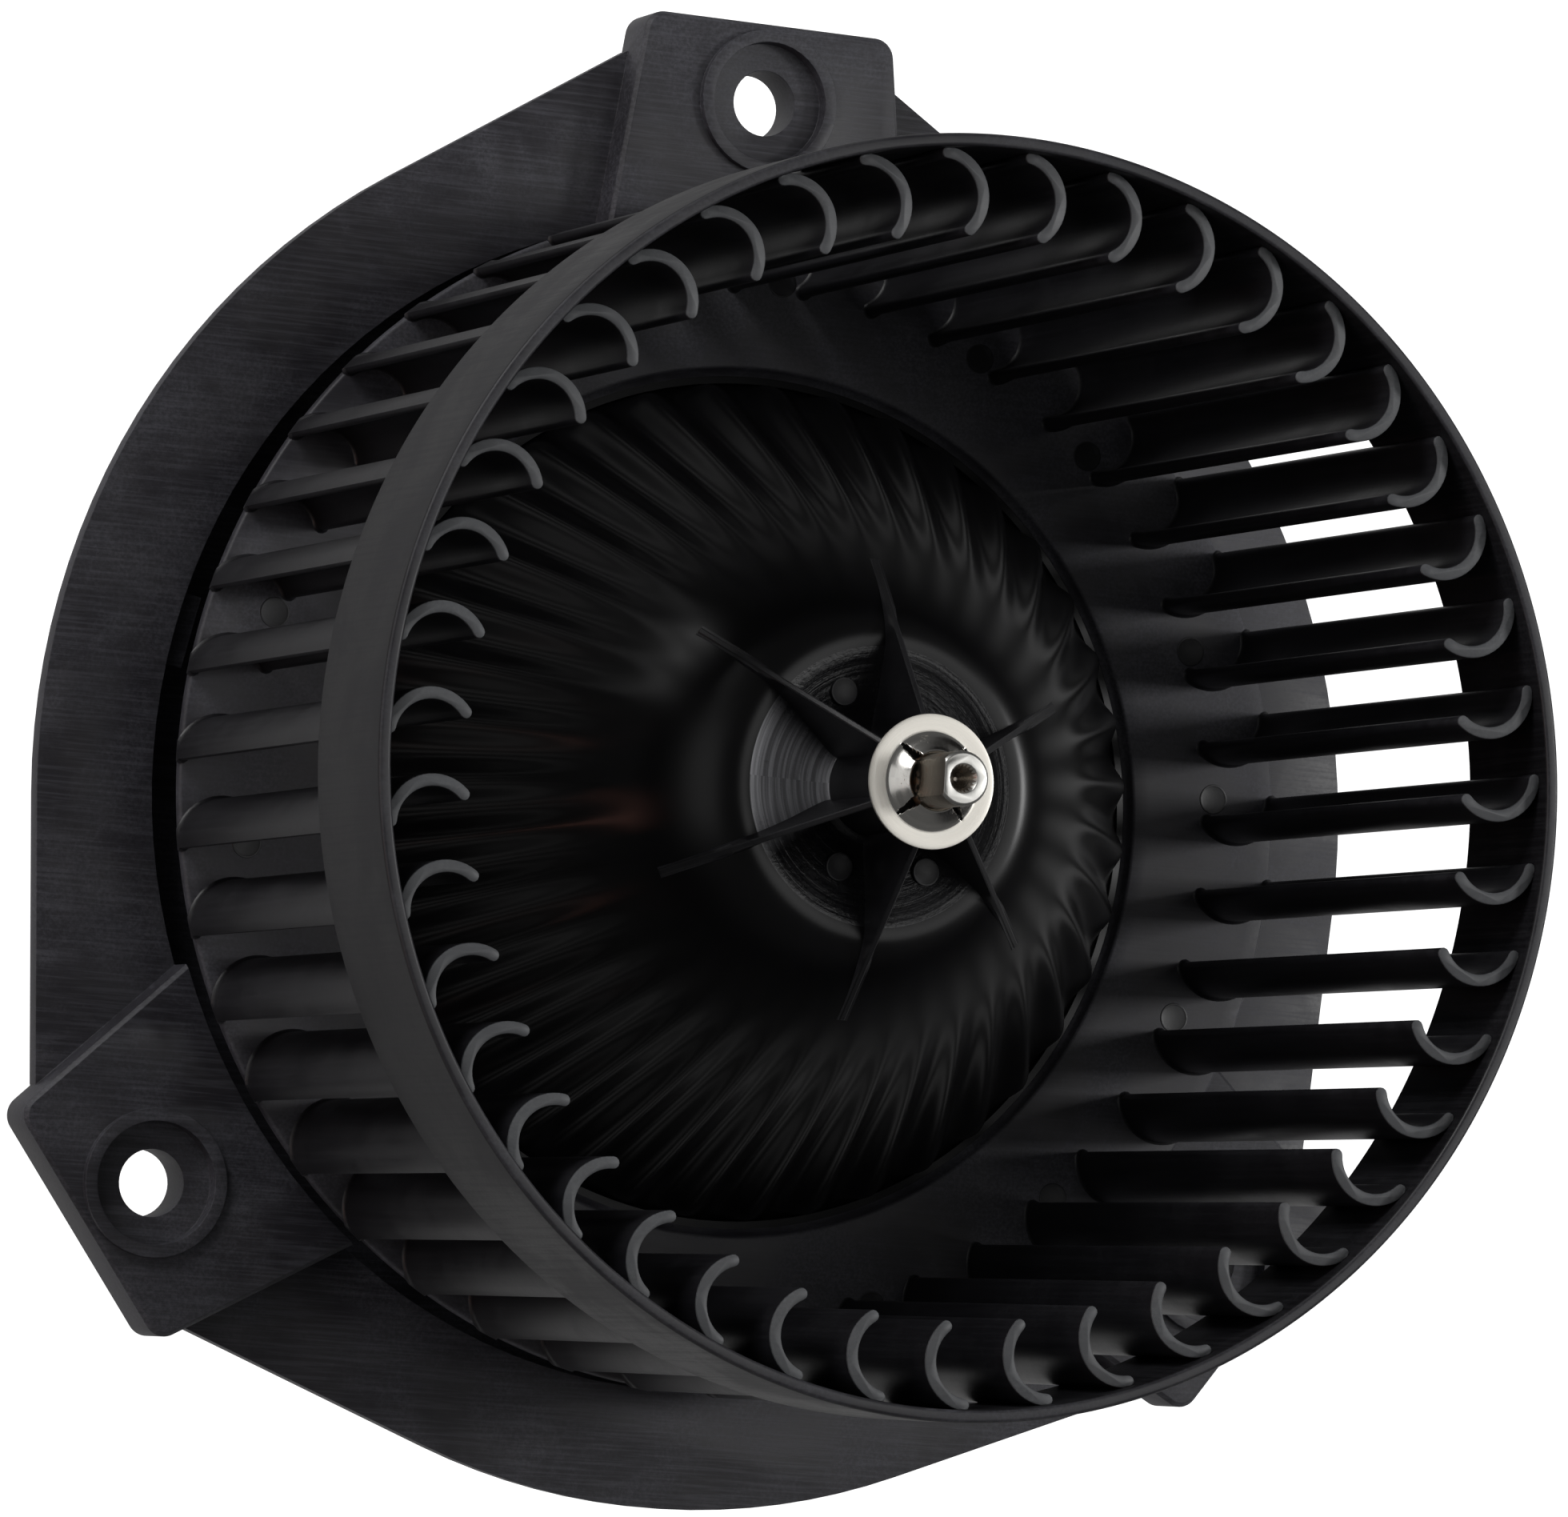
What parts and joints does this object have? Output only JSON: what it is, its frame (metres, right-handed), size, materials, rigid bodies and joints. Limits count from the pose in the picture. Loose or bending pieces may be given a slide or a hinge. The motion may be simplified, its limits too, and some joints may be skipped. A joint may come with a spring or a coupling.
{
  "type": "blower motor wheel",
  "caption": "Forward-curved centrifugal wheel on an enclosed DC motor with a three-eared mounting flange, for moving air through a heater or ventilation case.",
  "frame": {"origin": "on the shaft axis, in the flat rear face of the motor cover", "axes": "+Z along the shaft from the motor towards the wheel inlet; +Y from the shaft towards the single ear of the flange; +X to the right of it, seen from the inlet"},
  "size_m": [0.1704, 0.1802, 0.1348],
  "materials": {
    "wheel_plastic": "satin, fine grain",
    "flange_plastic": "satin, fine grain",
    "cover_plastic": "satin",
    "connector_plastic": "smooth",
    "nut_steel": "nickel plated, stamped",
    "shaft_steel": "ground, light tarnish",
    "core_steel": "laminated sheet",
    "winding_copper": "enamelled copper wire",
    "commutator_copper": "turned copper bars",
    "spacer_plastic": "plain",
    "zinc_steel": "zinc plated",
    "yoke_steel": "zinc plated, drawn",
    "isolator_rubber": "soft rubber",
    "bush_bronze": "sintered bronze",
    "magnet_ferrite": "ground ferrite",
    "card_phenolic": "phenolic sheet",
    "holder_brass": "folded brass",
    "carbon": "pressed carbon",
    "spring_steel": "drawn wire",
    "terminal_tin": "tin plated brass"
  },
  "bodies": {
    "frame": {"mounting_flange": "flange_plastic", "motor_cradle": "cover_plastic", "cradle_screws": "zinc_steel", "isolator_rings": "isolator_rubber", "motor_yoke": "yoke_steel", "front_bush": "bush_bronze", "front_retainer": "zinc_steel", "field_magnets": "magnet_ferrite", "magnet_clips": "spring_steel", "end_plate": "yoke_steel", "rear_bush": "bush_bronze", "rear_retainer": "zinc_steel", "thrust_pad": "spacer_plastic", "brush_card": "card_phenolic", "brush_holders": "holder_brass", "rear_cover": "cover_plastic", "connector_shell": "connector_plastic", "terminal_blades": "terminal_tin", "spring_left": "spring_steel", "spring_right": "spring_steel"},
    "rotor": {"wheel_front_ring": "wheel_plastic", "wheel_blades": "wheel_plastic", "wheel_back_plate": "wheel_plastic", "wheel_bell": "wheel_plastic", "wheel_hub": "wheel_plastic", "push_nut": "nut_steel", "shaft": "shaft_steel", "armature_core": "core_steel", "armature_windings": "winding_copper", "commutator": "commutator_copper", "shaft_spacers": "spacer_plastic"},
    "left_brush": {"brush_left": "carbon"},
    "right_brush": {"brush_right": "carbon"}
  },
  "joints": [
    {"name": "wheel_spin", "type": "hinge", "parent": "frame", "child": "rotor", "pos_m": [0, 0, 0], "axis": [0, 0, 1], "continuous": true},
    {"name": "left_brush_slide", "type": "slide", "parent": "frame", "child": "left_brush", "axis": [-1, 0, 0], "range_m": [0, 0.0022], "stiffness_N_per_m": 150, "springref_m": -0.01, "deforming": ["spring_left"]},
    {"name": "right_brush_slide", "type": "slide", "parent": "frame", "child": "right_brush", "axis": [1, 0, 0], "range_m": [0, 0.0022], "stiffness_N_per_m": 150, "springref_m": -0.01, "deforming": ["spring_right"]}
  ]
}
